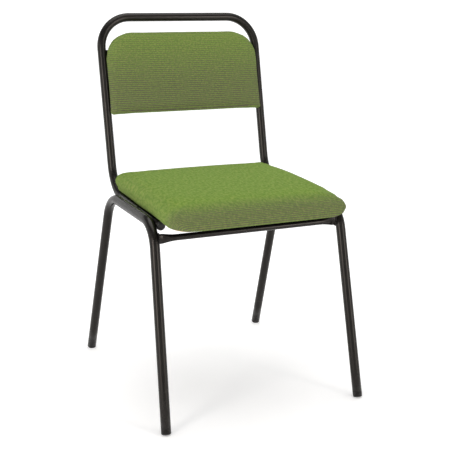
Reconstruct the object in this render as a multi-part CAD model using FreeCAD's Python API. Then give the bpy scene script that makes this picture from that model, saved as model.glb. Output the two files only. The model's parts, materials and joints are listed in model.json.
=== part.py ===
import FreeCAD, Part
import math
import os

# Stacking chair: a bent back tube and two leg frames welded together, with an upholstered
# seat and back pad bolted on. Millimetres, +Z up, the sitter faces -Y, floor at z = 0.
Vec = FreeCAD.Vector
os.makedirs("parts", exist_ok=True)

# ---------------------------------------------------------------- driving dimensions
LEG_TUBE_R = 10.25          # leg frame tube, outside
BACK_TUBE_R = 9.65          # back frame tube, outside
BAR_R = 6.6                 # crossbar tube, outside
TUBE_WALL = 1.5
BAR_WALL = 1.2

# leg frames: one bent tube each side, lying in a plane that leans outwards to the feet
LEG_RAIL_X = 212.6
LEG_RAIL_Z = 408.0
LEG_SPLAY = 0.028           # sideways lean, mm per mm of height
FRONT_FOOT_Y = -249.0
FRONT_CORNER_Y = -152.1
REAR_CORNER_Y = 117.1
REAR_FOOT_Y = 249.57
FRONT_BEND_R = 60.0
REAR_BEND_R = 70.0
FRONT_FOOT_RISE = 3.9       # height of a leg tube's end above the floor
REAR_FOOT_RISE = 4.25

# back frame: seat rails, uprights and top bar in one bent tube
RAIL_X = 192.3
RAIL_FRONT_Y = -138.0
RAIL_Z = 403.4              # rail axis at y = 0
RAIL_SLOPE = 1.37           # degrees, falling to the front
UPRIGHT_Y = 153.6           # the upright's axis passes this point
UPRIGHT_Z = 416.2
RECLINE = 13.5              # degrees
LOOP_TOP_Z = 788.5
SEAT_BEND_R = 80.0
LOOP_BEND_R = 70.0

# crossbars
FRONT_BAR_Y = -156.0
FRONT_BAR_Z = 378.0
REAR_BAR_Y = 62.0
FLAT_HALF_HEIGHT = 10.6     # flattened bar end
FLAT_HALF_DEPTH = 3.4
FLAT_START_X = 168.0        # the front bar is round as far as this from the centre plane
NECK_LENGTH = 17.0          # then it narrows to the flattened section over this length
FLAT_BITE = 3.0             # the flattened end stops this far short of the leg's axis

# seat pad, in its own frame: z = 0 is the plane that lies on both seat rails
SEAT_REAR_Y = 157.0
SEAT_FRONT_Y = -228.0
SEAT_REAR_HALF = 196.0
SEAT_FRONT_HALF = 202.0
SEAT_CORNER_R = 46.0
SEAT_DROOP = 7.0            # the front edge's fall below the rail plane
SEAT_DROOP_START_Y = -110.0
LINING_T = 0.6
CLOTH_T = 1.0
SEAT_BOARD_T = 11.0
BOARD_INSET = 8.0           # the board's edge lies this far inside the pad's
LINING_INSET = 14.0
SEAT_FOAM_INSET = 2.0
CLOTH_TURN_IN = 34.0        # width of the cloth turned in under the seat
SEAT_EDGE_T = 27.0          # pad height at its edge
SEAT_CROWN_T = 45.0         # pad height in the middle

# back pad, in its own frame: z along the uprights, y = 0 on the tube axes, front is -y
BACK_LOW_Z = 167.0
BACK_HIGH_Z = 348.0
BACK_LOW_HALF = 181.0
BACK_HIGH_HALF = 181.3
BACK_TOP_R = 64.0
BACK_LOW_R = 8.0
BACK_FRONT_Y = -22.0
BACK_REAR_Y = 3.0
BACK_SAG = 8.0              # how far the middle lies behind the sides
BACK_BOARD_T = 10.0
BACK_REAR_FOAM_T = 3.0
BACK_BOARD_INSET = 5.0

# welds
CREVICE_BEAD_R = 3.6        # bead in the crevice between a leg frame's rail and a seat rail
CREVICE_BEAD_OFF = 7.6      # its distance above or below the two tubes' axes
LOW_BEAD_YS = (-78.0, 40.0)
LOW_BEAD_LENGTH = 32.0
HIGH_BEAD_Y = -20.0
HIGH_BEAD_LENGTH = 26.0
BEAD_FOOT = 2.6             # a fillet bead's width where it lies on the tube
BEAD_LIP = 0.3              # and where it runs out on the bar
COLLAR_ROOT = 2.0           # a collar bead starts this deep in the leg tube's side
COLLAR_REACH = 2.5          # and runs this far out along the flattened bar
RING_FOOT = 3.0
RING_ROOT = 2.5
RING_LENGTH = 5.5

# plugs in the open tube ends
FOOT_HEAD_H = 2.0
FOOT_DOME_R = 22.0
FOOT_STEM = 18.0
FOOT_SHY = 0.15             # the head's rim lies this far inside the tube's outside
CAP_HEAD_H = 3.0
CAP_DOME_R = 14.0
CAP_STEM = 16.0
CAP_SHY = 0.1
DOME_RISE = 1.8
HEAD_BEVEL = 0.8
STEM_BEVEL = 1.0
STEM_TAPER = 2.0
RIB_SHY = 0.03              # a gripping rib's clearance in the bore
RIB_STEPS = (4.0, 8.0)      # ribs, measured down from the stem's end
RIB_RAMP = 0.8
RIB_CREST = 0.6

# fasteners
SCREW_R = 3.0
SCREW_HOLE_R = 3.3
NUT_BARREL_R = 4.0
NUT_FLANGE_R = 9.0
NUT_RECESS = 1.6
NUT_FLANGE_T = 1.5
NUT_FLANGE_PLAY = 0.2
NUT_BARREL_PLAY = 0.1
SCREW_PLAY = 0.05
SOCKET_R = 2.3              # hexagon socket, across its corners
SOCKET_DEPTH = 0.6          # share of the head's height
SEAT_SCREW_YS = (-95.0, 45.0)
BACK_SCREW_ZS = (205.0, 300.0)
TAB_T = 3.0
TAB_HALF_H = 11.0
TAB_LENGTH = 34.0
TAB_CORNER_R = 6.0
SCREW_X = 170.3             # the screws' distance from the centre plane
SCREW_HEAD_R = 5.2
SCREW_HEAD_H = 3.2
NUT_LENGTH = 9.0
SCREW_SHORT = 2.0           # a screw ends this far short of its nut's flange face
FIT_GAP = 0.3               # clearance between loose neighbours

# staples that hold the cloth and the lining to the seat board
STAPLE_LENGTH = 11.0
STAPLE_WIDTH = 1.0
STAPLE_CROWN_T = 0.5
STAPLE_LEG_T = 0.7
STAPLE_LEG_LENGTH = 7.0
REAR_STAPLE_INSET = 22.0
SIDE_STAPLE_INSET = 42.0
REAR_STAPLE_XS = range(-150, 151, 30)
SIDE_STAPLE_YS = range(-70, 101, 34)

REACH = 600.0               # longer than any part: size of the cutting blocks


def save(name, shape):
    """Write one node and say what it holds."""
    shape.exportStep("parts/" + name + ".step")
    box = shape.BoundBox
    print(f"{name:20s} solids {len(shape.Solids):3d} valid {shape.isValid()} "
          f"volume {shape.Volume / 1000:9.2f} cm3  z {box.ZMin:7.2f}..{box.ZMax:7.2f}")


# ---------------------------------------------------------------- bent tube
def ring_face(centre, normal, outer_r, inner_r):
    """A flat ring, or a disc when inner_r is 0."""
    wires = [Part.Wire(Part.makeCircle(outer_r, centre, normal))]
    if inner_r > 0:
        wires.append(Part.Wire(Part.makeCircle(inner_r, centre, normal)))
    return Part.makeFace(wires, "Part::FaceMakerBullseye")


def bent_rod(points, bend_radii, outer_r, inner_r=0.0):
    """Straight runs joined by tangent arcs through the inner points of a route."""
    pieces = []
    start = points[0]
    for corner, after, radius in zip(points[1:-1], points[2:], bend_radii):
        way_in = (corner - start).normalize()
        way_out = (after - corner).normalize()
        turn = way_in.getAngle(way_out)
        reach = radius * math.tan(turn / 2)
        arc_start = corner - way_in * reach
        axis = way_in.cross(way_out).normalize()
        centre = arc_start + axis.cross(way_in) * radius
        pieces.append(ring_face(start, way_in, outer_r, inner_r).extrude(arc_start - start))
        ring = ring_face(arc_start, way_in, outer_r, inner_r)
        pieces.append(ring.revolve(centre, axis, math.degrees(turn)))
        start = corner + way_out * reach
    end = points[-1]
    last_way = (end - start).normalize()
    pieces.append(ring_face(start, last_way, outer_r, inner_r).extrude(end - start))
    return pieces[0].multiFuse(pieces[1:]).removeSplitter()


def tube(points, bend_radii, outer_r, wall):
    return bent_rod(points, bend_radii, outer_r, outer_r - wall)


# ---------------------------------------------------------------- routes
def leg_x(z):
    """Distance of a leg frame's axis from the chair's centre plane at one height."""
    return LEG_RAIL_X - LEG_SPLAY * (z - LEG_RAIL_Z)


def leg_point(side, foot_y, corner_y, z):
    """A point on the straight line of one leg."""
    share = z / LEG_RAIL_Z
    return Vec(side * leg_x(z), foot_y + (corner_y - foot_y) * share, z)


def leg_route(side):
    return [leg_point(side, FRONT_FOOT_Y, FRONT_CORNER_Y, FRONT_FOOT_RISE),
            leg_point(side, FRONT_FOOT_Y, FRONT_CORNER_Y, LEG_RAIL_Z),
            leg_point(side, REAR_FOOT_Y, REAR_CORNER_Y, LEG_RAIL_Z),
            leg_point(side, REAR_FOOT_Y, REAR_CORNER_Y, REAR_FOOT_RISE)]


def rail_z(y):
    """Height of the seat rails' axis."""
    return RAIL_Z + y * math.tan(math.radians(RAIL_SLOPE))


def upright_y(z):
    return UPRIGHT_Y + (z - UPRIGHT_Z) * math.tan(math.radians(RECLINE))


def back_route():
    """Left rail's front end, round the loop, to the right rail's front end."""
    lean = math.tan(math.radians(RECLINE))
    slope = math.tan(math.radians(RAIL_SLOPE))
    corner_z = (RAIL_Z + slope * (UPRIGHT_Y - lean * UPRIGHT_Z)) / (1 - slope * lean)
    left = [Vec(-RAIL_X, RAIL_FRONT_Y, rail_z(RAIL_FRONT_Y)),
            Vec(-RAIL_X, upright_y(corner_z), corner_z),
            Vec(-RAIL_X, upright_y(LOOP_TOP_Z), LOOP_TOP_Z)]
    right = [Vec(-p.x, p.y, p.z) for p in reversed(left)]
    return left + right


LEG_BENDS = (FRONT_BEND_R, REAR_BEND_R)
BACK_BENDS = (SEAT_BEND_R, LOOP_BEND_R, LOOP_BEND_R, SEAT_BEND_R)

# the seat pad's frame and the back pad's frame, placed in the chair
SEAT_FRAME = FreeCAD.Placement(
    Vec(0, 0, RAIL_Z + BACK_TUBE_R / math.cos(math.radians(RAIL_SLOPE))),
    FreeCAD.Rotation(Vec(1, 0, 0), RAIL_SLOPE))
BACK_FRAME = FreeCAD.Placement(
    Vec(0, UPRIGHT_Y, UPRIGHT_Z), FreeCAD.Rotation(Vec(1, 0, 0), -RECLINE))


def placed(shape, frame):
    """A copy of a shape, carried from its own frame into the chair."""
    moved = shape.copy()
    moved.Placement = frame.multiply(moved.Placement)
    return moved


# ---------------------------------------------------------------- welded frame
def flattened_bar(y, z, half_span, round_half):
    """A crossbar whose ends are pressed into upright ovals."""
    def section(x, depth, height):
        oval = Part.Ellipse(Vec(x, y, z + height), Vec(x, y + depth, z), Vec(x, y, z))
        return Part.Wire(oval.toShape())

    def solid(wall):
        middle = Part.makeCylinder(BAR_R - wall, 2 * round_half, Vec(-round_half, y, z), Vec(1, 0, 0))
        pieces = [middle]
        for side in (-1, 1):
            neck = Part.Wire(Part.makeCircle(BAR_R - wall, Vec(side * round_half, y, z), Vec(1, 0, 0)))
            depth = FLAT_HALF_DEPTH - wall
            height = FLAT_HALF_HEIGHT - wall
            pressed = section(side * (round_half + NECK_LENGTH), depth, height)
            tip = section(side * half_span, depth, height)
            pieces.append(Part.makeLoft([neck, pressed], True))
            pieces.append(Part.makeLoft([pressed, tip], True))
        return middle.multiFuse(pieces[1:])

    return solid(0.0).cut(solid(BAR_WALL))


leg_envelopes = {side: bent_rod(leg_route(side), LEG_BENDS, LEG_TUBE_R) for side in (-1, 1)}
back_envelope = bent_rod(back_route(), BACK_BENDS, BACK_TUBE_R)
back_clearance = bent_rod(back_route(), BACK_BENDS, BACK_TUBE_R + FIT_GAP)

for side, name in ((-1, "left_leg_frame"), (1, "right_leg_frame")):
    save(name, tube(leg_route(side), LEG_BENDS, LEG_TUBE_R, TUBE_WALL))

save("back_frame", tube(back_route(), BACK_BENDS, BACK_TUBE_R, TUBE_WALL))

front_bar = flattened_bar(FRONT_BAR_Y, FRONT_BAR_Z, leg_x(FRONT_BAR_Z) - FLAT_BITE, FLAT_START_X)
for envelope in leg_envelopes.values():
    front_bar = front_bar.cut(envelope)
front_bar = max(front_bar.Solids, key=lambda solid: solid.Volume)
save("front_crossbar", front_bar)

rear_bar_z = rail_z(REAR_BAR_Y)
rear_bar = Part.makeCylinder(BAR_R, 2 * RAIL_X, Vec(-RAIL_X, REAR_BAR_Y, rear_bar_z), Vec(1, 0, 0))
bar_bore = Part.makeCylinder(BAR_R - BAR_WALL, 2 * RAIL_X, Vec(-RAIL_X, REAR_BAR_Y, rear_bar_z),
                             Vec(1, 0, 0))
rear_bar = rear_bar.cut(bar_bore).cut(back_envelope)
rear_bar = max(rear_bar.Solids, key=lambda solid: solid.Volume)
save("rear_crossbar", rear_bar)


# ---------------------------------------------------------------- pad tabs
def tab(side):
    """A flat lug welded to a tube: it reaches from the tube's axis inwards, top face at z = 0."""
    x_low = min(side * RAIL_X, side * (RAIL_X - TAB_LENGTH))
    plate = Part.makeBox(TAB_LENGTH, 2 * TAB_HALF_H, TAB_T, Vec(x_low, -TAB_HALF_H, -TAB_T))
    free_corners = [edge for edge in plate.Edges
                    if edge.BoundBox.ZLength > TAB_T / 2 and abs(edge.CenterOfMass.x) < RAIL_X - TAB_T]
    plate = plate.makeFillet(TAB_CORNER_R, free_corners)
    hole = Part.makeCylinder(SCREW_HOLE_R, 4 * TAB_T, Vec(side * SCREW_X, 0, -2 * TAB_T))
    return plate.cut(hole)


seat_screw_spots = [(side * SCREW_X, y) for side in (-1, 1) for y in SEAT_SCREW_YS]
seat_tabs = []
for side in (-1, 1):
    for y in SEAT_SCREW_YS:
        lug = tab(side)
        lug.translate(Vec(0, y, 0))
        seat_tabs.append(placed(lug, SEAT_FRAME).cut(back_envelope))
save("seat_tabs", Part.makeCompound([lug.Solids[0] for lug in seat_tabs]))

back_tabs = []
for side in (-1, 1):
    for z in BACK_SCREW_ZS:
        lug = tab(side)
        lug.rotate(Vec(0, 0, 0), Vec(1, 0, 0), 90)
        lug.translate(Vec(0, BACK_TUBE_R - TAB_T, z))
        back_tabs.append(placed(lug, BACK_FRAME).cut(back_envelope))
save("back_pad_tabs", Part.makeCompound([lug.Solids[0] for lug in back_tabs]))


# ---------------------------------------------------------------- weld beads
def crevice_bead(side, y, length, rise):
    """A bead along the crevice between a leg frame's rail and a seat rail; rise is 1 above, -1 below."""
    middle_x = side * (RAIL_X + LEG_RAIL_X) / 2
    middle_z = (rail_z(y) + LEG_RAIL_Z) / 2 + rise * CREVICE_BEAD_OFF
    start = Vec(middle_x, y - length / 2, middle_z)
    bead = Part.makeCylinder(CREVICE_BEAD_R, length, start, Vec(0, 1, 0))
    bead = bead.cut(leg_envelopes[side]).cut(back_envelope)
    return max(bead.Solids, key=lambda solid: solid.Volume)


def bar_oval(x, grow):
    """The flattened bar's outline at one station, grown all round."""
    oval = Part.Ellipse(Vec(x, FRONT_BAR_Y, FRONT_BAR_Z + FLAT_HALF_HEIGHT + grow),
                        Vec(x, FRONT_BAR_Y + FLAT_HALF_DEPTH + grow, FRONT_BAR_Z),
                        Vec(x, FRONT_BAR_Y, FRONT_BAR_Z))
    return Part.Wire(oval.toShape())


def collar_bead(side):
    """A fillet of weld round a front crossbar end where it meets the leg."""
    leg_face = leg_x(FRONT_BAR_Z) - LEG_TUBE_R
    root = bar_oval(side * (leg_face + COLLAR_ROOT), BEAD_FOOT)
    lip = bar_oval(side * (leg_face - COLLAR_REACH), BEAD_LIP)
    bar = Part.makeLoft([bar_oval(side * (leg_face - 2 * LEG_TUBE_R), 0.0),
                         bar_oval(side * leg_x(FRONT_BAR_Z), 0.0)], True)
    bead = Part.makeLoft([root, lip], True).cut(bar).cut(leg_envelopes[side])
    return max(bead.Solids, key=lambda solid: solid.Volume)


def ring_bead(side):
    """A fillet of weld round a rear crossbar end where it meets the seat rail."""
    inner_face = RAIL_X - BACK_TUBE_R
    root = Vec(side * (inner_face + RING_ROOT), REAR_BAR_Y, rear_bar_z)
    cone = Part.makeCone(BAR_R + RING_FOOT, BAR_R + BEAD_LIP, RING_LENGTH, root, Vec(-side, 0, 0))
    core = Part.makeCylinder(BAR_R, 2 * RAIL_X, Vec(-RAIL_X, REAR_BAR_Y, rear_bar_z), Vec(1, 0, 0))
    bead = cone.cut(core).cut(back_envelope)
    return max(bead.Solids, key=lambda solid: solid.Volume)


beads = []
for side in (-1, 1):
    for y in LOW_BEAD_YS:
        beads.append(crevice_bead(side, y, LOW_BEAD_LENGTH, -1))
    beads.append(crevice_bead(side, HIGH_BEAD_Y, HIGH_BEAD_LENGTH, 1))
    beads.append(collar_bead(side))
    beads.append(ring_bead(side))
save("frame_welds", Part.makeCompound(beads))


# ---------------------------------------------------------------- plugs
def plug(head_r, bore_r, head_h, dome_r, stem_length):
    """A domed tube plug: head below z = 0, ribbed stem above it."""
    stem_r = bore_r - FIT_GAP
    rib_r = bore_r - RIB_SHY
    rim_z = -head_h
    dome_centre_z = rim_z - DOME_RISE + dome_r
    dome_edge_r = math.sqrt(dome_r ** 2 - (dome_centre_z - rim_z) ** 2)
    outline = [Vec(0, 0, stem_length),
               Vec(stem_r - STEM_BEVEL, 0, stem_length),
               Vec(stem_r, 0, stem_length - STEM_TAPER)]
    for step in RIB_STEPS:
        rib_z = stem_length - step
        outline += [Vec(stem_r, 0, rib_z),
                    Vec(rib_r, 0, rib_z - RIB_RAMP),
                    Vec(rib_r, 0, rib_z - RIB_RAMP - RIB_CREST),
                    Vec(stem_r, 0, rib_z - STEM_TAPER)]
    outline += [Vec(stem_r, 0, 0), Vec(head_r, 0, 0), Vec(head_r, 0, rim_z + HEAD_BEVEL),
                Vec(dome_edge_r, 0, rim_z)]
    edges = [Part.LineSegment(a, b).toShape() for a, b in zip(outline[:-1], outline[1:])]
    bottom = Vec(0, 0, dome_centre_z - dome_r)
    half_turn = math.asin(dome_edge_r / dome_r) / 2
    halfway = Vec(dome_r * math.sin(half_turn), 0, dome_centre_z - dome_r * math.cos(half_turn))
    edges.append(Part.Arc(outline[-1], halfway, bottom).toShape())
    edges.append(Part.LineSegment(bottom, outline[0]).toShape())
    face = Part.Face(Part.Wire(edges))
    return face.revolve(Vec(0, 0, 0), Vec(0, 0, 1), 360)


def along(shape, end, inwards):
    """Stand a plug in a tube's end, its stem pointing inwards."""
    frame = FreeCAD.Placement(end, FreeCAD.Rotation(Vec(0, 0, 1), inwards))
    return placed(shape, frame)


below_floor = Part.makeBox(2 * REACH, 2 * REACH, REACH, Vec(-REACH, -REACH, -REACH))
for side, side_name in ((-1, "left"), (1, "right")):
    route = leg_route(side)
    for end, next_point, end_name in ((route[0], route[1], "front"), (route[3], route[2], "rear")):
        foot = plug(LEG_TUBE_R - FOOT_SHY, LEG_TUBE_R - TUBE_WALL, FOOT_HEAD_H, FOOT_DOME_R, FOOT_STEM)
        foot = along(foot, end, (next_point - end).normalize()).cut(below_floor)
        save(f"{end_name}_{side_name}_foot", foot)
    rail_end = back_route()[0 if side < 0 else -1]
    rail_next = back_route()[1 if side < 0 else -2]
    cap = plug(BACK_TUBE_R - CAP_SHY, BACK_TUBE_R - TUBE_WALL, CAP_HEAD_H, CAP_DOME_R, CAP_STEM)
    save(f"{side_name}_rail_plug", along(cap, rail_end, (rail_next - rail_end).normalize()))


# ---------------------------------------------------------------- seat pad
def seat_outline(inset, low_z, high_z):
    """The seat's plan as an upright prism, its edge moved inwards by inset."""
    rear = (SEAT_REAR_HALF - inset, SEAT_REAR_Y - inset)
    front = (SEAT_FRONT_HALF - inset, SEAT_FRONT_Y + inset)
    return rounded_prism([Vec(-rear[0], rear[1], low_z), Vec(rear[0], rear[1], low_z),
                          Vec(front[0], front[1], low_z), Vec(-front[0], front[1], low_z)],
                         [SEAT_CORNER_R - inset] * 4, Vec(0, 0, high_z - low_z))


def rounded_prism(corners, radii, height):
    """A polygon with rounded corners, extruded."""
    edges = []
    starts = []
    count = len(corners)
    for i, (corner, radius) in enumerate(zip(corners, radii)):
        way_in = (corner - corners[i - 1]).normalize()
        way_out = (corners[(i + 1) % count] - corner).normalize()
        reach = radius * math.tan(way_in.getAngle(way_out) / 2)
        first = corner - way_in * reach
        last = corner + way_out * reach
        inwards = (way_out - way_in).normalize()
        half_inner = (math.pi - way_in.getAngle(way_out)) / 2
        middle = corner + inwards * (radius / math.sin(half_inner) - radius)
        edges.append(Part.Arc(first, middle, last).toShape())
        starts.append((first, last))
    for i in range(count):
        edges.append(Part.LineSegment(starts[i][1], starts[(i + 1) % count][0]).toShape())
    wire = Part.Wire(Part.__sortEdges__(edges))
    return Part.Face(wire).extrude(height)


def seat_layer(low, edge_high, middle_high, inset):
    """A seat layer between two heights above the rail plane, drooping at the front.

    The top is crowned both ways when middle_high is above edge_high.
    """
    margin = 10
    half = SEAT_FRONT_HALF + margin
    rear = SEAT_REAR_Y + margin
    front = SEAT_FRONT_Y - margin

    def edge_curve(z, crown):
        """Rear to front: crowned or straight, then curving down to the front edge."""
        start = Vec(-half, rear, z)
        middle = Vec(-half, (rear + SEAT_DROOP_START_Y) / 2, z + crown)
        bend = Vec(-half, SEAT_DROOP_START_Y, z + crown * 0.8)
        end = Vec(-half, front, z - SEAT_DROOP)
        curve = Part.BSplineCurve()
        if crown > 0:
            curve.interpolate([start, middle, bend, end])
            return [curve.toShape()]
        curve.interpolate([bend, bend + Vec(0, -60, -0.25 * SEAT_DROOP), end])
        return [Part.LineSegment(start, bend).toShape(), curve.toShape()]

    crown = (middle_high - edge_high) / 2
    low_edges = edge_curve(low, 0)
    high_edges = edge_curve(edge_high + crown, crown) if crown > 0 else edge_curve(edge_high, 0)
    ends = []
    for i in (0, -1):
        ends.append(Part.LineSegment(low_edges[i].Vertexes[i].Point,
                                     high_edges[i].Vertexes[i].Point).toShape())
    wire = Part.Wire(Part.__sortEdges__(low_edges + high_edges + ends))
    band = Part.Face(wire).extrude(Vec(2 * half, 0, 0))
    layer = band.common(seat_outline(inset, -2 * SEAT_CROWN_T, 2 * SEAT_CROWN_T))
    if crown > 0:
        bow_r = (half ** 2 + crown ** 2) / (2 * crown)
        bow = Part.makeCylinder(bow_r, rear - front, Vec(0, front, middle_high - bow_r), Vec(0, 1, 0))
        room = Part.makeBox(2 * half, rear - front, 4 * SEAT_CROWN_T, Vec(-half, front, -2 * SEAT_CROWN_T))
        layer = layer.common(bow.common(room))
    return layer


def seat_hole(x, y, radius, low, high):
    return Part.makeCylinder(radius, high - low, Vec(x, y, low))


board_low = LINING_T + CLOTH_T + FIT_GAP
board_high = board_low + SEAT_BOARD_T
board = seat_layer(board_low, board_high, board_high, BOARD_INSET)
for x, y in seat_screw_spots:
    board = board.cut(seat_hole(x, y, NUT_BARREL_R, -REACH, REACH))
    board = board.cut(seat_hole(x, y, NUT_FLANGE_R, board_high - NUT_RECESS, REACH))
board = placed(board, SEAT_FRAME).cut(back_clearance)
save("seat_board", board)

foam = seat_layer(board_high, SEAT_EDGE_T - CLOTH_T, SEAT_CROWN_T - CLOTH_T, SEAT_FOAM_INSET)
foam = placed(foam, SEAT_FRAME).cut(back_clearance)
save("seat_foam", foam)

cloth_low = LINING_T + FIT_GAP
cloth_outer = seat_layer(cloth_low, SEAT_EDGE_T, SEAT_CROWN_T, 0.0)
cloth_inner = seat_layer(cloth_low + CLOTH_T, SEAT_EDGE_T - CLOTH_T, SEAT_CROWN_T - CLOTH_T, CLOTH_T)
cloth_opening = seat_outline(CLOTH_TURN_IN, -2 * SEAT_DROOP, board_high)
cover = cloth_outer.cut(cloth_inner).cut(cloth_opening)
cover = placed(cover, SEAT_FRAME).cut(back_clearance)
save("seat_cover", cover)

lining = seat_layer(FIT_GAP / 2, FIT_GAP / 2 + LINING_T, 0, LINING_INSET)
for x, y in seat_screw_spots:
    lining = lining.cut(seat_hole(x, y, SCREW_HOLE_R, -REACH, REACH))
lining = placed(lining, SEAT_FRAME).cut(back_clearance)
save("seat_lining", lining)


def tee_nut(length):
    """Flange on top at z = 0, barrel hanging below it, threaded through."""
    flange = Part.makeCylinder(NUT_FLANGE_R - NUT_FLANGE_PLAY, NUT_FLANGE_T, Vec(0, 0, -NUT_FLANGE_T))
    barrel = Part.makeCylinder(NUT_BARREL_R - NUT_BARREL_PLAY, length, Vec(0, 0, -length))
    thread = Part.makeCylinder(SCREW_R, 3 * length, Vec(0, 0, -2 * length))
    return flange.fuse(barrel).cut(thread)


def button_screw(length, head_r, head_h):
    """Shank up from z = 0, domed head with a hexagon socket below it."""
    shank = Part.makeCylinder(SCREW_R - SCREW_PLAY, length)
    dome_r = (head_r ** 2 + head_h ** 2) / (2 * head_h)
    dome = Part.makeSphere(dome_r, Vec(0, 0, dome_r - head_h))
    head = dome.common(Part.makeCylinder(head_r, head_h, Vec(0, 0, -head_h)))
    turns = [math.radians(60 * i) for i in range(7)]
    hexagon = Part.makePolygon([Vec(SOCKET_R * math.cos(turn), SOCKET_R * math.sin(turn), -head_h)
                                for turn in turns])
    socket = Part.Face(hexagon).extrude(Vec(0, 0, SOCKET_DEPTH * head_h))
    return shank.fuse(head).cut(socket)


seat_nuts = []
seat_screws = []
for x, y in seat_screw_spots:
    nut = tee_nut(NUT_LENGTH)
    nut.translate(Vec(x, y, board_high))
    seat_nuts.append(placed(nut, SEAT_FRAME))
    screw = button_screw(board_high + TAB_T - SCREW_SHORT, SCREW_HEAD_R, SCREW_HEAD_H)
    screw.translate(Vec(x, y, -TAB_T))
    seat_screws.append(placed(screw, SEAT_FRAME))
save("seat_tee_nuts", Part.makeCompound(seat_nuts))
save("seat_screws", Part.makeCompound(seat_screws))


def staple(x, y, turn):
    """A wire staple driven up through the lining, its crown along the edge."""
    start = Vec(-STAPLE_LENGTH / 2, -STAPLE_WIDTH / 2, -STAPLE_CROWN_T)
    crown = Part.makeBox(STAPLE_LENGTH, STAPLE_WIDTH, STAPLE_CROWN_T, start)
    legs = [Part.makeBox(STAPLE_LEG_T, STAPLE_WIDTH, STAPLE_LEG_LENGTH, start + Vec(shift, 0, 0))
            for shift in (0, STAPLE_LENGTH - STAPLE_LEG_T)]
    shape = crown.multiFuse(legs).removeSplitter()
    shape.rotate(Vec(0, 0, 0), Vec(0, 0, 1), turn)
    shape.translate(Vec(x, y, FIT_GAP / 2))
    return placed(shape, SEAT_FRAME)


staples = []
for x in REAR_STAPLE_XS:
    staples.append(staple(x, SEAT_REAR_Y - REAR_STAPLE_INSET, 0))
for y in SIDE_STAPLE_YS:
    for side in (-1, 1):
        share = (y - SEAT_REAR_Y) / (SEAT_FRONT_Y - SEAT_REAR_Y)
        half = SEAT_REAR_HALF + share * (SEAT_FRONT_HALF - SEAT_REAR_HALF)
        staples.append(staple(side * (half - SIDE_STAPLE_INSET), y, 90))
save("seat_staples", Part.makeCompound(staples))


# ---------------------------------------------------------------- back pad
def back_layer(front, rear, inset):
    """A layer of the back pad between two depths, bowed in plan and cut to the pad's outline."""
    margin = 20
    half = BACK_HIGH_HALF + margin
    bow = BACK_SAG * (half / BACK_LOW_HALF) ** 2
    low = BACK_LOW_Z - margin
    rise = Vec(0, 0, BACK_HIGH_Z - BACK_LOW_Z + 2 * margin)

    def bowed(depth):
        side_y = depth - (bow - BACK_SAG)
        arc = Part.Arc(Vec(-half, side_y, low), Vec(0, depth + BACK_SAG, low), Vec(half, side_y, low))
        return arc.toShape()

    near = bowed(front)
    far = bowed(rear)
    sides = [Part.LineSegment(near.Vertexes[i].Point, far.Vertexes[i].Point).toShape() for i in (0, 1)]
    band = Part.Face(Part.Wire(Part.__sortEdges__([near, far] + sides))).extrude(rise)
    corners = [Vec(-BACK_LOW_HALF + inset, -half, BACK_LOW_Z + inset),
               Vec(BACK_LOW_HALF - inset, -half, BACK_LOW_Z + inset),
               Vec(BACK_HIGH_HALF - inset, -half, BACK_HIGH_Z - inset),
               Vec(-BACK_HIGH_HALF + inset, -half, BACK_HIGH_Z - inset)]
    radii = [BACK_LOW_R - inset] * 2 + [BACK_TOP_R - inset] * 2
    return band.common(rounded_prism(corners, radii, Vec(0, 2 * half, 0)))


back_board_rear = BACK_REAR_Y - CLOTH_T - BACK_REAR_FOAM_T
back_board_front = back_board_rear - BACK_BOARD_T
back_screw_spots = [(side * SCREW_X, z) for side in (-1, 1) for z in BACK_SCREW_ZS]


def back_hole(x, z, radius, front, rear):
    return Part.makeCylinder(radius, rear - front, Vec(x, front, z), Vec(0, 1, 0))


# the bowed board's front face lies this far back at the screws
screw_bow = BACK_SAG * (1 - (SCREW_X / BACK_LOW_HALF) ** 2)
nut_face = back_board_front + screw_bow

board = back_layer(back_board_front, back_board_rear, BACK_BOARD_INSET)
front_foam = back_layer(BACK_FRONT_Y + CLOTH_T, back_board_front, CLOTH_T)
rear_foam = back_layer(back_board_rear, BACK_REAR_Y - CLOTH_T, BACK_BOARD_INSET)
cover = back_layer(BACK_FRONT_Y, BACK_REAR_Y, 0.0).cut(
    back_layer(BACK_FRONT_Y + CLOTH_T, BACK_REAR_Y - CLOTH_T, CLOTH_T))
for x, z in back_screw_spots:
    board = board.cut(back_hole(x, z, NUT_BARREL_R, -REACH, REACH))
    board = board.cut(back_hole(x, z, NUT_FLANGE_R, -REACH, nut_face + NUT_RECESS))
    rear_foam = rear_foam.cut(back_hole(x, z, NUT_BARREL_R, -REACH, REACH))
    cover = cover.cut(back_hole(x, z, SCREW_HOLE_R, BACK_REAR_Y - 3 * CLOTH_T, REACH))
save("back_board", placed(board, BACK_FRAME))
save("back_foam", placed(front_foam, BACK_FRAME))
save("back_rear_foam", placed(rear_foam, BACK_FRAME))
save("back_cover", placed(cover, BACK_FRAME))

back_nuts = []
back_screws = []
head_face = BACK_TUBE_R
for x, z in back_screw_spots:
    nut = tee_nut(NUT_LENGTH)
    nut.rotate(Vec(0, 0, 0), Vec(1, 0, 0), 90)
    nut.translate(Vec(x, nut_face, z))
    back_nuts.append(placed(nut, BACK_FRAME))
    screw = button_screw(head_face - nut_face - SCREW_SHORT, SCREW_HEAD_R, SCREW_HEAD_H)
    screw.rotate(Vec(0, 0, 0), Vec(1, 0, 0), 90)
    screw.translate(Vec(x, head_face, z))
    back_screws.append(placed(screw, BACK_FRAME))
save("back_tee_nuts", Part.makeCompound(back_nuts))
save("back_screws", Part.makeCompound(back_screws))
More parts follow.
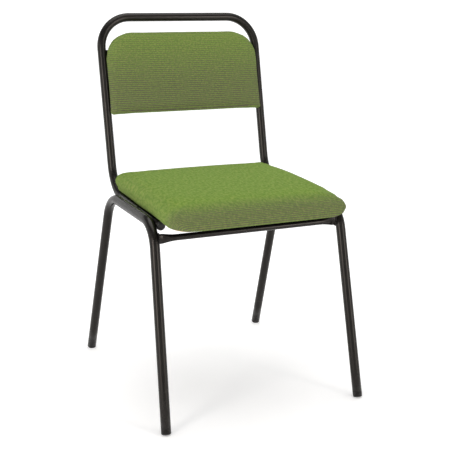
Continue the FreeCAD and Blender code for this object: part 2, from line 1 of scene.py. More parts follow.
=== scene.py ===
# %% [markdown]
# # A stacking chair
# The chair is one bent tube for the back and the seat rails, a bent tube for the legs on each
# side, two crossbars, and an upholstered seat and back pad. The frame comes from CAD, and this
# lesson gives it the looks: it rebuilds what shows of the tubes as smooth swept meshes, stuffs
# the two pads by cloth simulation, and paints everything with node materials.

# %% Load the frame and note its size
import json
import math

import bmesh
import bpy
from mathutils import Matrix, Vector
from mathutils.geometry import intersect_point_line


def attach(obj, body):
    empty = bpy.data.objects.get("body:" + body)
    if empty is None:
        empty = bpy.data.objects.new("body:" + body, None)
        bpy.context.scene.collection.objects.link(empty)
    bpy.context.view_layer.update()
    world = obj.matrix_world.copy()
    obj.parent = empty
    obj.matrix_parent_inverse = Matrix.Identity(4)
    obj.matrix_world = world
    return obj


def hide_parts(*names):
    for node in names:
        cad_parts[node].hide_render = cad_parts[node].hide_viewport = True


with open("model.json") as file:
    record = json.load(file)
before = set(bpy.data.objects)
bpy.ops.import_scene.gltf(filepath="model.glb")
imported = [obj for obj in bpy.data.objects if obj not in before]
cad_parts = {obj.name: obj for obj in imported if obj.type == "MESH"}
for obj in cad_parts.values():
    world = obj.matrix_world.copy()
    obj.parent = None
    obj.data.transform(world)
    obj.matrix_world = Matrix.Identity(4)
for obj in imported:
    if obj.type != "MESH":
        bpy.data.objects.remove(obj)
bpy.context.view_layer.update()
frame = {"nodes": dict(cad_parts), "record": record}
print("CAD nodes:", ", ".join(sorted(frame["nodes"])))

# %% [markdown]
# ## Camera
# The chair is shown from a little above and from its front left, so that its front faces to the
# right of the picture. The camera stands about 2.1 m away with a long lens, so the legs keep nearly
# parallel. Its axes are worked out from a heading, a dip and a slight roll, and become the columns
# of its matrix.

# %% Place the camera
CAMERA_PLACE = Vector((-0.85283, -1.85035, 0.89281))
HEADING = 0.4383
DIP = 0.2611
ROLL = 0.0158
LENS = 75.95

ahead = Vector((math.sin(HEADING) * math.cos(DIP), math.cos(HEADING) * math.cos(DIP),
                -math.sin(DIP)))
level = Vector((math.cos(HEADING), -math.sin(HEADING), 0))
rise = level.cross(ahead)
right = level * math.cos(ROLL) + rise * math.sin(ROLL)
up = rise * math.cos(ROLL) - level * math.sin(ROLL)
turned = Matrix((right, up, -ahead)).transposed().to_4x4()
camera = bpy.data.objects.new("camera", bpy.data.cameras.new("camera"))
camera.data.lens = LENS
camera.matrix_world = Matrix.Translation(CAMERA_PLACE) @ turned
bpy.context.scene.collection.objects.link(camera)
bpy.context.scene.camera = camera
bpy.context.scene.view_settings.view_transform = "Standard"
print("camera looks", [round(v, 3) for v in ahead])

# %% [markdown]
# ## Shader maths
# A finish is easier to read as arithmetic than as dozens of node calls. `Signal` wraps one
# socket, and its operators add Math nodes. `Finish` wraps one material, and its `node` method
# makes any other node: first the node's own settings, then the values or links of its sockets.

# %% A small language for finishes
class Signal:
    """A number that varies over a surface. Arithmetic on it adds Math nodes."""

    def __init__(self, finish, socket):
        self.finish = finish
        self.socket = socket

    def joined(self, operation, first, second=0.0):
        return self.finish.node("ShaderNodeMath", {"operation": operation}, {0: first, 1: second})

    def __add__(self, other):
        return self.joined("ADD", self, other)

    def __sub__(self, other):
        return self.joined("SUBTRACT", self, other)

    def __rsub__(self, other):
        return self.joined("SUBTRACT", other, self)

    def __mul__(self, other):
        return self.joined("MULTIPLY", self, other)

    def __pow__(self, other):
        return self.joined("POWER", self, other)

    def wave(self):
        """A sine of this value, moved into 0 to 1."""
        return self.joined("SINE", self) * 0.5 + 0.5

    def between(self, low, high):
        """0 below low, 1 above high, with a smooth step from one to the other."""
        return self.finish.node("ShaderNodeMapRange", {"interpolation_type": "SMOOTHSTEP"},
                                {"Value": self, "From Min": low, "From Max": high})

    __radd__ = __add__
    __rmul__ = __mul__


class Finish:
    """A node material in the making."""

    def __init__(self, name, **constants):
        self.material = bpy.data.materials.new(name)
        self.material.use_nodes = True
        self.tree = self.material.node_tree
        self.shader = self.tree.nodes["Principled BSDF"]
        for socket, value in constants.items():
            self.shader.inputs[socket.replace("_", " ")].default_value = value

    def feed(self, socket, value):
        if isinstance(value, Signal):
            self.tree.links.new(value.socket, socket)
        else:
            socket.default_value = value

    def node(self, kind, settings=None, inputs=None, out=0):
        made = self.tree.nodes.new(kind)
        for key, value in (settings or {}).items():
            setattr(made, key, value)
        for key, value in (inputs or {}).items():
            self.feed(made.inputs[key], value)
        return Signal(self, made.outputs[out])

    def coordinates(self, name):
        return self.node("ShaderNodeTexCoord", out=name)

    def parts(self, vector):
        """The three numbers of a vector."""
        split = self.node("ShaderNodeSeparateXYZ", None, {0: vector})
        return [Signal(self, socket) for socket in split.socket.node.outputs]

    def vector(self, x, y, z=0.0):
        return self.node("ShaderNodeCombineXYZ", None, {0: x, 1: y, 2: z})

    def noise(self, where, scale, detail=2.0, roughness=0.5):
        return self.node("ShaderNodeTexNoise", None,
                         {"Vector": where, "Scale": scale, "Detail": detail, "Roughness": roughness})

    def mix(self, share, first, second, blend="MIX"):
        """Two colours mixed by a share."""
        return self.node("ShaderNodeMix", {"data_type": "RGBA", "blend_type": blend},
                         {0: share, 6: first, 7: second}, out=2)

    def bump(self, height, distance, strength=1.0):
        return self.node("ShaderNodeBump", None,
                         {"Height": height, "Distance": distance, "Strength": strength})

    def wear(self, **inputs):
        """Feed what varies over the surface to the shader's sockets."""
        for socket, value in inputs.items():
            self.feed(self.shader.inputs[socket.replace("_", " ")], value)
        return self.material


print("finish maths ready")

# %% [markdown]
# ## Black powder coat
# The tubes are powder coated: a near-black film, half glossy, with the faint orange peel that
# melted powder keeps. Fine noise drives the bump and the roughness, and a second, coarse noise
# lets the gloss drift along a tube. Near the feet the film is scuffed a little greyer.

# %% Powder coat
WARM_SHINE = (1.0, 0.93, 0.86, 1)
COAT_DARK = (0.0030, 0.0027, 0.0025, 1)
COAT_LIGHT = (0.0055, 0.0049, 0.0045, 1)
SCUFFED_COAT = (0.05, 0.047, 0.044, 1)
SCUFFED_BELOW = 0.16


def powder_coat():
    paint = Finish("black_powder_coat", Metallic=0.0, Specular_IOR_Level=0.30,
                   Specular_Tint=WARM_SHINE)
    place = paint.coordinates("Object")
    height = paint.parts(place)[2]
    peel = paint.noise(place, 900.0, detail=3.0)
    drift = paint.noise(place, 22.0)
    scratches = paint.noise(paint.node("ShaderNodeVectorMath", {"operation": "MULTIPLY"},
                                       {0: place, 1: (900.0, 900.0, 60.0)}), 1.0, detail=4.0)
    low = 1.0 - height.between(0.02, SCUFFED_BELOW)
    scuffs = low * scratches.between(0.58, 0.72) * 0.5
    colour = paint.mix(drift, COAT_DARK, COAT_LIGHT)
    colour = paint.mix(scuffs, colour, SCUFFED_COAT)
    gloss = 0.20 + drift * 0.07 + peel * 0.05 + scuffs * 0.25
    return paint.wear(Base_Color=colour, Roughness=gloss, Normal=paint.bump(peel, 0.00012, 0.35))


black_coat = powder_coat()
print("finish:", black_coat.name)

# %% [markdown]
# ## Woven cloth
# The pads wear a heather cloth: yarns of two greens are woven so that flecks of both show, with a
# little straw between them, and thin ribs run from side to side. Its pattern follows the cloth,
# not the room, so it reads a UV map in metres: U along the ribs and V across them. Flecks are
# noise drawn out along the yarn. Ribs are a sine of V, a little unsteady, and both colour and bump
# read them. Painted shade darkens the furrows between the ribs and the yarns, and a dark ground
# yarn is mixed in as painted shade on the seat's front roll and sides and low on the back pad, so
# the ribs look parted there.

# %% Cloth
RIB_PITCH = 0.0046
YARN_PITCH = 0.0011
TWILL_PITCH = (0.0135, 0.0105)
LEAF_YARN = (0.122, 0.226, 0.030, 1)
MOSS_YARN = (0.222, 0.338, 0.058, 1)
STRAW_YARN = (0.300, 0.335, 0.080, 1)
# the dark yarn between the ribs, mixed in as painted shade
GROUND_YARN_AND_SHADE = (0.112, 0.094, 0.075, 1)
TURN = 2 * math.pi


def woven_cloth(name, grain, gap_shade):
    """grain is how finely the two greens mix, across and along, in spots per metre.
    The third argument says, for (across, along), where painted shade falls: there the dark ground
    yarn between the ribs is mixed in."""
    cloth = Finish(name, Roughness=0.95, Sheen_Weight=0.03, Sheen_Roughness=0.5,
                   Specular_IOR_Level=0.08)
    across, along = cloth.parts(cloth.coordinates("UV"))[:2]

    def spots(per_metre_across, per_metre_along, **settings):
        where = cloth.vector(across * per_metre_across, along * per_metre_along)
        return cloth.noise(where, 1.0, **settings)

    wander = spots(9.0, 30.0)
    ribs = ((along + wander * 0.002) * (TURN / RIB_PITCH)).wave()
    yarn = (along * (TURN / YARN_PITCH)).wave() * (across * (TURN / YARN_PITCH)).wave()
    flecks = spots(260.0, 620.0, detail=3.0, roughness=0.7)
    mottle = spots(*grain, detail=2.0, roughness=0.6)
    patches = spots(170.0, 140.0)
    diagonal = across * (TURN / TWILL_PITCH[0]) + along * (TURN / TWILL_PITCH[1])
    twill = (diagonal + wander * 5.0).wave()
    broken = spots(150.0, 240.0).between(0.30, 0.62) * (0.8 + twill * 0.2)
    blend = flecks.between(0.36, 0.64) * 0.4 + mottle.between(0.36, 0.64) * 0.6
    colour = cloth.mix(blend, LEAF_YARN, MOSS_YARN)
    straw = patches.between(0.4, 0.7) * mottle.between(0.4, 0.6) * 0.6
    colour = cloth.mix(straw, colour, STRAW_YARN)
    furrows = (1.0 - ribs) ** 1.6 * (0.45 + broken * 0.55)
    # Painted shade: where the mask from the third argument is high, the dark ground yarn is mixed in,
    # most in the furrows between the ribs.
    gap_shade_share = gap_shade(across, along) * (0.41 + furrows * 0.76)
    colour = cloth.mix(gap_shade_share, colour, GROUND_YARN_AND_SHADE)
    # Painted shade: the furrows between the ribs and between the yarns are darkened a little.
    shade = 1.0 - (1.0 - yarn) * 0.06 - (1.0 - ribs) * broken * 0.06
    colour = cloth.mix(1.0, colour, cloth.vector(shade, shade, shade), "MULTIPLY")
    relief = ribs * 0.5 + yarn * 0.35 + flecks * 0.4
    return cloth.wear(Base_Color=colour, Normal=cloth.bump(relief, 0.0005, 0.5))


def shade_on_the_roll(across, along):
    """Painted shade on the seat: the dark ground yarn shows where the cloth is bent over the front
    edge, and a little at the sides.
    """
    side = across.joined("ABSOLUTE", across).between(0.150, 0.215) * 0.38
    front = (0.0 - along).between(0.165, 0.225)
    return front * 0.95 + side * (1.0 - front)


def shade_downwards(across, along):
    """Painted shade on the back pad: the dark ground yarn shows more and more downwards, and fades
    out where the cloth turns under its edge.
    """
    return (1.0 - along.between(0.20, 0.37) * 0.55) * along.between(0.158, 0.166)


# The seat and the back wear copies of one cloth that differ in how finely the greens mix and in where
# painted shade falls.
seat_cloth = woven_cloth("green_cloth", (190.0, 95.0), shade_on_the_roll)
back_cloth = woven_cloth("green_back_cloth", (250.0, 330.0), shade_downwards)
print("finishes:", seat_cloth.name, back_cloth.name)

# %% [markdown]
# ## Small finishes
# The plugs are moulded plastic with a fine sparkle of texture. The boards are rotary-cut
# plywood, the nuts and staples plain zinc-plated steel, the screws blackened steel, and the lining
# under the seat a black bonded cloth with tiny pressed dots.

# %% Plastic, plywood, zinc, blackened steel, lining and foam
def moulded_plastic():
    plastic = Finish("black_plastic", Specular_IOR_Level=0.4)
    place = plastic.coordinates("Object")
    grain = plastic.noise(place, 1500.0, detail=2.0)
    dust = plastic.noise(place, 90.0, detail=4.0)
    colour = plastic.mix(dust.between(0.45, 0.8), (0.014, 0.014, 0.014, 1), (0.04, 0.038, 0.036, 1))
    return plastic.wear(Base_Color=colour, Roughness=0.38 + dust * 0.2,
                        Normal=plastic.bump(grain, 0.0001, 0.4))


PLY = 0.0028
DOT_PITCH = 0.0024


def plywood():
    wood = Finish("plywood", Roughness=0.7)
    x, y, z = wood.parts(wood.coordinates("Object"))
    grain = wood.noise(wood.vector(x * 12.0, y * 160.0, z * 400.0), 1.0, detail=5.0, roughness=0.65)
    plies = (z * (TURN / PLY)).wave()
    colour = wood.mix(grain.between(0.3, 0.7), (0.42, 0.27, 0.14, 1), (0.66, 0.48, 0.29, 1))
    colour = wood.mix(plies.between(0.7, 1.0) * 0.25, colour, (0.3, 0.18, 0.09, 1))
    return wood.wear(Base_Color=colour, Normal=wood.bump(grain, 0.0003, 0.4))


def plated_steel(name, dark, light, roughness):
    steel = Finish(name, Metallic=1.0)
    place = steel.coordinates("Object")
    clouds = steel.noise(place, 260.0, detail=3.0)
    marks = steel.noise(place, 2200.0, detail=2.0)
    return steel.wear(Base_Color=steel.mix(clouds, dark, light), Roughness=roughness + marks * 0.15,
                      Normal=steel.bump(marks, 0.00005, 0.3))


def bonded_lining():
    lining = Finish("black_lining", Roughness=0.95, Specular_IOR_Level=0.15)
    x, y, z = lining.parts(lining.coordinates("Object"))
    dots = ((x + y) * (TURN / DOT_PITCH)).wave() * ((x - y) * (TURN / DOT_PITCH)).wave()
    fibres = lining.noise(lining.coordinates("Object"), 700.0, detail=4.0)
    colour = lining.mix(fibres.between(0.3, 0.7), (0.012, 0.012, 0.014, 1), (0.035, 0.034, 0.038, 1))
    return lining.wear(Base_Color=colour, Normal=lining.bump(dots * 0.6 + fibres * 0.4, 0.0004, 0.5))


def open_foam():
    foam = Finish("foam", Roughness=1.0)
    cells = foam.noise(foam.coordinates("Object"), 1200.0, detail=3.0)
    colour = foam.mix(cells, (0.6, 0.55, 0.38, 1), (0.85, 0.8, 0.62, 1))
    return foam.wear(Base_Color=colour, Normal=foam.bump(cells, 0.0005, 0.6))


finishes = {
    "black_powder_coat": black_coat,
    "green_cloth": seat_cloth,
    "black_plastic": moulded_plastic(),
    "plywood": plywood(),
    "zinc_steel": plated_steel("zinc_steel", (0.42, 0.43, 0.44, 1), (0.62, 0.62, 0.6, 1), 0.3),
    "black_steel": plated_steel("black_steel", (0.02, 0.02, 0.02, 1), (0.05, 0.048, 0.045, 1), 0.35),
    "black_lining": bonded_lining(),
    "foam": open_foam(),
}
print(len(finishes), "finishes made")

# %% [markdown]
# ## CAD nodes
# Every CAD node gets the finish of its material slot from the record, although only those that no
# new piece replaces will show.

# %% Paint the CAD nodes
for part in frame["record"]["subparts"]:
    node = frame["nodes"][part["node"]]
    node.data.materials.clear()
    node.data.materials.append(finishes[part["material_slot"]])
print("painted", len(frame["nodes"]), "nodes")

# %% Piece helper
SHARP = math.radians(38)


def piece(name, shape, slot, stands_for):
    bmesh.ops.recalc_face_normals(shape, faces=shape.faces[:])
    for face in shape.faces:
        face.smooth = True
    mesh = bpy.data.meshes.new(name)
    shape.to_mesh(mesh)
    shape.free()
    mesh.set_sharp_from_angle(angle=SHARP)
    mesh.materials.append(finishes[slot])
    made = bpy.data.objects.new(name, mesh)
    bpy.context.scene.collection.objects.link(made)
    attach(made, "root")
    if stands_for:
        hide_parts(*stands_for)
    print(f"{name}: {len(mesh.polygons)} faces")
    return made


# %% [markdown]
# ## Bent tubes
# A tube is a circle carried along its route. Straight runs are extrusions of the ring, and each
# bend is a spin of the ring about the bend's centre, just as a tube bender's die turns it. The
# Solidify modifier then gives the wall its thickness inwards, so the cut ends show a real wall.

# %% Sweep a ring along a route
TUBE_SIDES = 40
BEND_STEP = math.radians(5)
RUN_STEP = 0.05


def new_verts(result):
    return [item for item in result["geom"] if isinstance(item, bmesh.types.BMVert)]


def ring_edges(verts):
    """The edges that join the vertices of one ring."""
    ring = set(verts)
    return [edge for edge in {e for v in verts for e in v.link_edges} if set(edge.verts) <= ring]


def start_ring(shape, radius, centre, way):
    turn = way.to_track_quat("Z", "Y").to_matrix().to_4x4()
    return bmesh.ops.create_circle(shape, radius=radius, segments=TUBE_SIDES,
                                   matrix=Matrix.Translation(centre) @ turn)["verts"]


def run_on(shape, ring, way, steps=1):
    """Extrude a ring straight on, in a number of steps."""
    for _ in range(steps):
        ring = new_verts(bmesh.ops.extrude_edge_only(shape, edges=ring_edges(ring)))
        bmesh.ops.translate(shape, verts=ring, vec=way / steps)
    return ring


def bent_tube(name, route, bends, radius, wall, stands_for):
    """Sweep a tube along a route of corners with one bend radius each, and return its axis."""
    shape = bmesh.new()
    start = route[0]
    ring = start_ring(shape, radius, start, (route[1] - start).normalized())
    axis_points = [start]
    for corner, after, bend in zip(route[1:-1], route[2:], bends):
        way_in = (corner - start).normalized()
        way_out = (after - corner).normalized()
        turn = way_in.angle(way_out)
        reach = bend * math.tan(turn / 2)
        run = corner - way_in * reach - start
        ring = run_on(shape, ring, run, max(1, round(run.length / RUN_STEP)))
        hinge = way_in.cross(way_out).normalized()
        centre = start + run + hinge.cross(way_in) * bend
        steps = math.ceil(turn / BEND_STEP)
        spun = bmesh.ops.spin(shape, geom=ring + ring_edges(ring), cent=centre, axis=hinge,
                              angle=turn, steps=steps, use_merge=False, use_duplicate=False)
        ring = [item for item in spun["geom_last"] if isinstance(item, bmesh.types.BMVert)]
        axis_points += [centre + Matrix.Rotation(turn * i / steps, 3, hinge) @ (start + run - centre)
                        for i in range(steps + 1)]
        start = corner + way_out * reach
    run = route[-1] - start
    run_on(shape, ring, run, max(1, round(run.length / RUN_STEP)))
    axis_points.append(route[-1])
    walls = piece(name, shape, "black_powder_coat", stands_for).modifiers.new("wall", "SOLIDIFY")
    walls.thickness = wall
    walls.offset = -1
    return axis_points


# %% [markdown]
# The routes are the corners where the straight runs would meet. A leg frame lies in a plane that
# leans outwards to its feet, so every corner's X follows from its height.

# %% Leg frames
LEG_TUBE = 0.01025
BACK_TUBE = 0.00965
WALL = 0.0015
LEG_RAIL_X = 0.2126
LEG_RAIL_Z = 0.408
SPLAY = 0.028
FRONT_LEG = (-0.249, -0.1521)
REAR_LEG = (0.24957, 0.1171)
FOOT_RISE = (0.0039, 0.00425)
LEG_BENDS = (0.060, 0.070)


def leg_point(side, leg, z):
    """A point on a leg's straight line, from the Y of its foot and of its top corner."""
    foot_y, corner_y = leg
    x = LEG_RAIL_X - SPLAY * (z - LEG_RAIL_Z)
    return Vector((side * x, foot_y + (corner_y - foot_y) * z / LEG_RAIL_Z, z))


for side, side_name in ((-1, "left"), (1, "right")):
    route = [leg_point(side, FRONT_LEG, FOOT_RISE[0]), leg_point(side, FRONT_LEG, LEG_RAIL_Z),
             leg_point(side, REAR_LEG, LEG_RAIL_Z), leg_point(side, REAR_LEG, FOOT_RISE[1])]
    bent_tube(f"{side_name}_leg_tube", route, LEG_BENDS, LEG_TUBE, WALL, [f"{side_name}_leg_frame"])

# %% Back frame
RAIL_X = 0.1923
RAIL_FRONT_Y = -0.138
RAIL_Z = 0.4034
RAIL_SLOPE = math.radians(1.37)
UPRIGHT = (0.1536, 0.4162)
RECLINE = math.radians(13.5)
LOOP_TOP_Z = 0.7885
SEAT_BEND = 0.080
LOOP_BEND = 0.070


def rail_z(y):
    return RAIL_Z + y * math.tan(RAIL_SLOPE)


def upright_y(z):
    return UPRIGHT[0] + (z - UPRIGHT[1]) * math.tan(RECLINE)


lean = math.tan(RECLINE)
slope = math.tan(RAIL_SLOPE)
heel_z = (RAIL_Z + slope * (UPRIGHT[0] - lean * UPRIGHT[1])) / (1 - slope * lean)
reach = SEAT_BEND * math.tan((math.pi / 2 - RECLINE - RAIL_SLOPE) / 2)
rail_way = Vector((math.cos(RAIL_SLOPE), math.sin(RAIL_SLOPE)))
bend_start = Vector((upright_y(heel_z), heel_z)) - reach * rail_way
SEAT_BEND_HINGE = bend_start + SEAT_BEND * Vector((-rail_way.y, rail_way.x))
left_route = [Vector((-RAIL_X, RAIL_FRONT_Y, rail_z(RAIL_FRONT_Y))),
              Vector((-RAIL_X, upright_y(heel_z), heel_z)),
              Vector((-RAIL_X, upright_y(LOOP_TOP_Z), LOOP_TOP_Z))]
right_route = [Vector((-point.x, point.y, point.z)) for point in reversed(left_route)]
back_axis = bent_tube("back_tube", left_route + right_route,
                      (SEAT_BEND, LOOP_BEND, LOOP_BEND, SEAT_BEND), BACK_TUBE, WALL, ["back_frame"])

# %% [markdown]
# ## Crossbars
# The front bar is a thin round tube whose ends were pressed into upright ovals, so that they
# cover more of the leg, and the press left a crease where the oval begins. It is one ring that
# is extruded along X and scaled at each station. The rear bar stays round.

# %% Crossbars
BAR = 0.0066
FRONT_BAR = (-0.156, 0.378)
REAR_BAR_Y = 0.062
REAR_BAR_RUN = 0.1
REAR_BAR_BITE = 0.004       # the rear bar stops this far short of the rail's axis


def crossbar(name, y, z, stations, stands_for):
    """stations lists (x, height factor, depth factor) from the middle to the right-hand end."""
    shape = bmesh.new()
    mirrored = [(-x, tall, deep) for x, tall, deep in reversed(stations)] + stations
    x, tall, deep = mirrored[0]
    ring = start_ring(shape, BAR, Vector((x, y, z)), Vector((1, 0, 0)))
    bmesh.ops.contextual_create(shape, geom=ring_edges(ring))
    bmesh.ops.scale(shape, verts=ring, vec=(1, deep, tall), space=Matrix.Translation((-x, -y, -z)))
    for next_x, next_tall, next_deep in mirrored[1:]:
        ring = run_on(shape, ring, Vector((next_x - x, 0, 0)))
        bmesh.ops.scale(shape, verts=ring, vec=(1, next_deep / deep, next_tall / tall),
                        space=Matrix.Translation((-next_x, -y, -z)))
        x, tall, deep = next_x, next_tall, next_deep
    bmesh.ops.contextual_create(shape, geom=ring_edges(ring))
    piece(name, shape, "black_powder_coat", stands_for)


leg_at_bar = LEG_RAIL_X - SPLAY * (FRONT_BAR[1] - LEG_RAIL_Z)
round_run = [(0.165, 1.0, 1.0)]
neck = [(0.172, 1.04, 0.97), (0.180, 1.18, 0.84), (0.188, 1.38, 0.66), (0.1935, 1.52, 0.53)]
crease = [(0.1945, 1.55, 0.46), (0.1955, 1.57, 0.50)]
oval_end = [(leg_at_bar, 1.62, 0.52)]
crossbar("front_bar", *FRONT_BAR, round_run + neck + crease + oval_end, ["front_crossbar"])
crossbar("rear_bar", REAR_BAR_Y, rail_z(REAR_BAR_Y),
         [(REAR_BAR_RUN, 1.0, 1.0), (RAIL_X - REAR_BAR_BITE, 1.0, 1.0)], ["rear_crossbar"])

# %% [markdown]
# ## Weld beads
# The beads are laid by hand: a row of overlapping ripples. A ring is extruded in short steps, and
# every other ring is drawn in a little, which makes the ripples. Most beads lie in the crevice
# between the leg tube and the seat rail, below the seat. The beads round the bars' ends are rings
# of small overlapping balls.

# %% Weld beads
RIPPLE = 0.0018
CREVICE_BEADS = ((-0.094, 0.032, -1), (0.024, 0.032, -1), (-0.033, 0.026, 1))
CREVICE_RISE = 0.0076
CREVICE_BEAD = 0.0036
OVAL_BEAD = (0.0108, 0.0038)
ROUND_BEAD = 0.0021
BEAD_STANDS = (0.0006, 0.0008)
BEAD_TIP = 0.55


def ripple_bead(shape, start, way, length, radius):
    """A straight bead of ripples with closed, tapered ends."""
    steps = 2 * round(length / RIPPLE / 2)
    pace = way.normalized() * length / steps
    ring = start_ring(shape, radius, start, way)
    bmesh.ops.contextual_create(shape, geom=ring_edges(ring))
    place = start
    sizes = [BEAD_TIP] + [1.0 if i % 2 else 0.9 for i in range(1, steps)] + [BEAD_TIP]
    bmesh.ops.scale(shape, verts=ring, vec=(sizes[0],) * 3, space=Matrix.Translation(-place))
    for i in range(steps):
        ring = run_on(shape, ring, pace)
        place = place + pace
        bmesh.ops.scale(shape, verts=ring, vec=(sizes[i + 1] / sizes[i],) * 3,
                        space=Matrix.Translation(-place))
    bmesh.ops.contextual_create(shape, geom=ring_edges(ring))


def ring_bead(shape, centre, height, depth):
    """A bead that runs round an oval bar end, in the plane across the bar."""
    ripples = 20
    for i in range(ripples):
        angle = 2 * math.pi * i / ripples
        spot = centre + Vector((0, depth * math.cos(angle), height * math.sin(angle)))
        lay = Vector((0, -depth * math.sin(angle), height * math.cos(angle))).normalized()
        turn = lay.to_track_quat("Z", "Y").to_matrix().to_4x4()
        bmesh.ops.create_uvsphere(shape, u_segments=12, v_segments=8, radius=ROUND_BEAD,
                                  matrix=Matrix.Translation(spot) @ turn)


welds = bmesh.new()
crevice_x = (RAIL_X + LEG_RAIL_X) / 2
for side in (-1, 1):
    for y, length, above in CREVICE_BEADS:
        z = (rail_z(y) + LEG_RAIL_Z) / 2 + above * CREVICE_RISE
        ripple_bead(welds, Vector((side * crevice_x, y, z)),
                    Vector((0, 1, math.tan(RAIL_SLOPE) / 2)), length, CREVICE_BEAD)
    leg_face = side * (leg_at_bar - LEG_TUBE + BEAD_STANDS[0])
    rail_face = side * (RAIL_X - BACK_TUBE + BEAD_STANDS[1])
    ring_bead(welds, Vector((leg_face, *FRONT_BAR)), *OVAL_BEAD)
    ring_bead(welds, Vector((rail_face, REAR_BAR_Y, rail_z(REAR_BAR_Y))), BAR, BAR)
piece("weld_beads", welds, "black_powder_coat", ["frame_welds"])

# %% [markdown]
# ## Plugs
# Each tube end is closed by a moulded plug: a collar as wide as the tube and a shallow dome. Its
# outline is drawn as a few edges and spun a full turn, and the seam of the turn is merged. The
# feet's domes are worn flat where they stand, so they are cut at the floor.

# %% Domed plugs
STEM_LENGTH = 0.012
STEM_SHARE = 0.84           # of the collar's radius
BEVEL_SHARE = 0.965
BEVEL_HEIGHT = 0.0006
DOME_STEP = math.radians(15)
FOOT_COLLAR = 0.0019
FOOT_DOME = 0.0021
CAP_COLLAR = 0.0030
CAP_DOME = 0.0034


def plug(name, end, inwards, head, depth, dome, stands_for, floor=False):
    """A plug in a tube's end, its stem pointing inwards; a foot is cut flat at the floor."""
    shape = bmesh.new()
    rim = head * BEVEL_SHARE
    outline = [(0.0, STEM_LENGTH), (head * STEM_SHARE, STEM_LENGTH), (head * STEM_SHARE, 0.0),
               (head, 0.0), (head, -depth + BEVEL_HEIGHT), (rim, -depth)]
    outline += [(rim * math.cos(i * DOME_STEP), -depth - dome * math.sin(i * DOME_STEP))
                for i in range(1, 7)]
    verts = [shape.verts.new((r, 0, z)) for r, z in outline]
    edges = [shape.edges.new(pair) for pair in zip(verts[:-1], verts[1:])]
    bmesh.ops.spin(shape, geom=verts + edges, cent=(0, 0, 0), axis=(0, 0, 1), angle=2 * math.pi,
                   steps=TUBE_SIDES, use_merge=True)
    turned = Matrix.Translation(end) @ inwards.to_track_quat("Z", "Y").to_matrix().to_4x4()
    bmesh.ops.transform(shape, matrix=turned, verts=shape.verts[:])
    bmesh.ops.remove_doubles(shape, verts=shape.verts[:], dist=0.00001)
    if floor:
        everything = shape.verts[:] + shape.edges[:] + shape.faces[:]
        bmesh.ops.bisect_plane(shape, geom=everything, plane_co=(0, 0, 0), plane_no=(0, 0, -1),
                               clear_outer=True)
        bmesh.ops.holes_fill(shape, edges=[e for e in shape.edges if e.is_boundary])
    piece(name, shape, "black_plastic", stands_for)


for side, side_name in ((-1, "left"), (1, "right")):
    for leg, foot_z, end_name in ((FRONT_LEG, FOOT_RISE[0], "front"),
                                  (REAR_LEG, FOOT_RISE[1], "rear")):
        end = leg_point(side, leg, foot_z)
        plug(f"{end_name}_{side_name}_plug", end, leg_point(side, leg, LEG_RAIL_Z) - end,
             LEG_TUBE - 0.00015, FOOT_COLLAR, FOOT_DOME, [f"{end_name}_{side_name}_foot"], floor=True)
    end = Vector((side * RAIL_X, RAIL_FRONT_Y, rail_z(RAIL_FRONT_Y)))
    plug(f"{side_name}_rail_cap", end, Vector((0, 1, math.tan(RAIL_SLOPE))),
         BACK_TUBE - 0.0001, CAP_COLLAR, CAP_DOME, [f"{side_name}_rail_plug"])

# %% [markdown]
# ## Pads
# A pad starts as a finely divided cube, because a cube has a top, a bottom and four walls that a
# pad's cloth also has. Every vertex is then carried to its place in the pad: its plan goes into
# an outline with round corners, and its height onto a crown that falls off quickly near the edge.

# %% Carry a cube into a pad
PAD_CUTS = 55


def in_outline(u, v, half_near, half_far, near, far, radius_near, radius_far):
    """Carry a point of the unit square into an outline with round corners."""
    half = half_near + (half_far - half_near) * (v + 1) / 2
    reach = (far - near) / 2
    radius = radius_near if v < 0 else radius_far
    x = abs(u) * half
    y = abs(v) * reach
    a = max(0.0, (x - half + radius) / radius)
    b = max(0.0, (y - reach + radius) / radius)
    if a > 0 and b > 0:
        x = half - radius + radius * a * math.sqrt(1 - b * b / 2)
        y = reach - radius + radius * b * math.sqrt(1 - a * a / 2)
    return math.copysign(x, u), (near + far) / 2 + math.copysign(y, v)


def padded_cube(form):
    """A divided cube with each vertex moved to form(u, v, w); all three run from -1 to 1."""
    shape = bmesh.new()
    bmesh.ops.create_cube(shape, size=2)
    bmesh.ops.subdivide_edges(shape, edges=shape.edges[:], cuts=PAD_CUTS, use_grid_fill=True)
    for vert in shape.verts:
        vert.co = form(*vert.co)
    return shape


# %% [markdown]
# ## Stuffing a pad
# Foam pushes its cloth out until the cloth is tight. The cloth simulation does the same: the
# starting shape is a few millimetres small, it is remeshed into even squares, the part that is
# stapled to the board is pinned, and a pressure inside swells the rest for twenty frames. How
# far a point may travel is capped, so the pad keeps to its size.

# %% Swell by cloth simulation
SWELL_FRAMES = 20
PRESSURE = 4.0
STIFFNESS = 15


def evaluated(thing):
    """The object's mesh with its modifiers, as a new mesh."""
    graph = bpy.context.evaluated_depsgraph_get()
    return bpy.data.meshes.new_from_object(thing.evaluated_get(graph))


